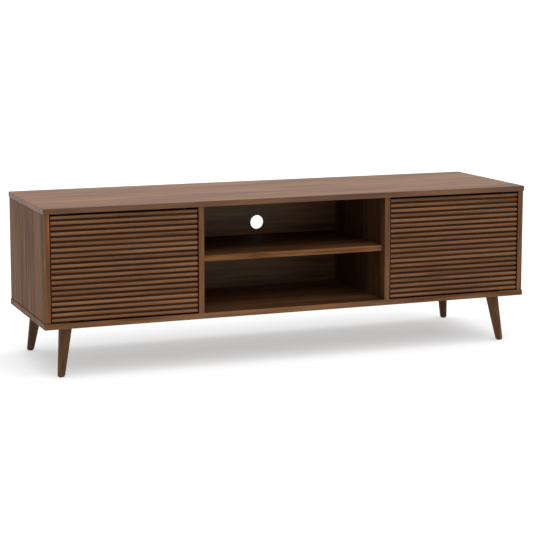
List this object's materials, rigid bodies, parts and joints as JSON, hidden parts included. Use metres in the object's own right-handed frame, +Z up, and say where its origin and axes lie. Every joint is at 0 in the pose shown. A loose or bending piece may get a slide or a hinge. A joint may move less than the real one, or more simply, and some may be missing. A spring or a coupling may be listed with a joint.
{
  "type": "tv stand with doors",
  "caption": "Long low media stand in walnut-grain board, open shelved bay between inset doors with horizontal slats, on splayed tapered round legs.",
  "frame": {"origin": "on the floor, under the middle of the top panel", "axes": "+X to the right seen from the front, +Y from the front to the back, +Z up"},
  "size_m": [1.4, 0.4, 0.45],
  "materials": {
    "walnut_board": "satin walnut-grain laminate, grain lengthwise",
    "walnut_board_upright": "satin walnut-grain laminate, grain upright",
    "back_board": "walnut-grain paper foil on thin fibreboard",
    "door_board": "dark walnut-grain foil",
    "walnut_slat": "walnut-grain wrapped moulding, satin",
    "turned_leg": "walnut-stained turned wood, satin lacquer",
    "glide_plastic": "moulded black plastic",
    "beech_dowel": "fluted beech",
    "zinc_cam": "cast zinc",
    "zinc_steel": "zinc-plated steel",
    "nickel_magnet": "nickel-plated magnet",
    "white_nylon": "natural nylon",
    "latch_plastic": "dark brown moulded plastic"
  },
  "bodies": {
    "carcass": {"back_panel": "back_board", "back_panel_screws": "zinc_steel", "bottom_panel": "walnut_board", "cam_bolts": "zinc_steel", "cam_locks": "zinc_cam", "centre_shelf": "walnut_board", "front_left_glide": "glide_plastic", "front_left_leg": "turned_leg", "front_right_glide": "glide_plastic", "front_right_leg": "turned_leg", "latch_screws": "zinc_steel", "left_divider": "walnut_board_upright", "left_latch_housing": "latch_plastic", "left_latch_spring": "zinc_steel", "left_lower_pivot_pin": "zinc_steel", "left_lower_pivot_plate": "zinc_steel", "left_side_panel": "walnut_board_upright", "left_upper_pivot_pin": "zinc_steel", "left_upper_pivot_plate": "zinc_steel", "leg_hanger_bolts": "zinc_steel", "leg_threaded_inserts": "zinc_steel", "panel_dowels": "beech_dowel", "pivot_plate_screws": "zinc_steel", "pivot_washers": "white_nylon", "rear_left_glide": "glide_plastic", "rear_left_leg": "turned_leg", "rear_right_glide": "glide_plastic", "rear_right_leg": "turned_leg", "right_divider": "walnut_board_upright", "right_latch_housing": "latch_plastic", "right_latch_spring": "zinc_steel", "right_lower_pivot_pin": "zinc_steel", "right_lower_pivot_plate": "zinc_steel", "right_side_panel": "walnut_board_upright", "right_upper_pivot_pin": "zinc_steel", "right_upper_pivot_plate": "zinc_steel", "shelf_screws": "zinc_steel", "top_panel": "walnut_board"},
    "left_door": {"left_door_panel": "door_board", "left_door_slats": "walnut_slat", "left_lower_bush": "white_nylon", "left_striker": "zinc_steel", "left_striker_screw": "zinc_steel", "left_upper_bush": "white_nylon"},
    "right_door": {"right_door_panel": "door_board", "right_door_slats": "walnut_slat", "right_lower_bush": "white_nylon", "right_striker": "zinc_steel", "right_striker_screw": "zinc_steel", "right_upper_bush": "white_nylon"},
    "left_latch": {"left_latch_magnet": "nickel_magnet", "left_latch_plunger": "latch_plastic"},
    "right_latch": {"right_latch_magnet": "nickel_magnet", "right_latch_plunger": "latch_plastic"}
  },
  "joints": [
    {"name": "left_door_hinge", "type": "hinge", "parent": "carcass", "child": "left_door", "pos_m": [-0.6555, -0.1845, 0.292], "axis": [0, 0, -1], "range_deg": [0, 110]},
    {"name": "right_door_hinge", "type": "hinge", "parent": "carcass", "child": "right_door", "pos_m": [0.6555, -0.1845, 0.292], "axis": [0, 0, 1], "range_deg": [0, 110]},
    {"name": "left_latch_press", "type": "slide", "parent": "carcass", "child": "left_latch", "axis": [0, 1, 0], "range_m": [0, 0.003], "stiffness_N_per_m": 400, "deforming": ["left_latch_spring"]},
    {"name": "right_latch_press", "type": "slide", "parent": "carcass", "child": "right_latch", "axis": [0, 1, 0], "range_m": [0, 0.003], "stiffness_N_per_m": 400, "deforming": ["right_latch_spring"]}
  ]
}
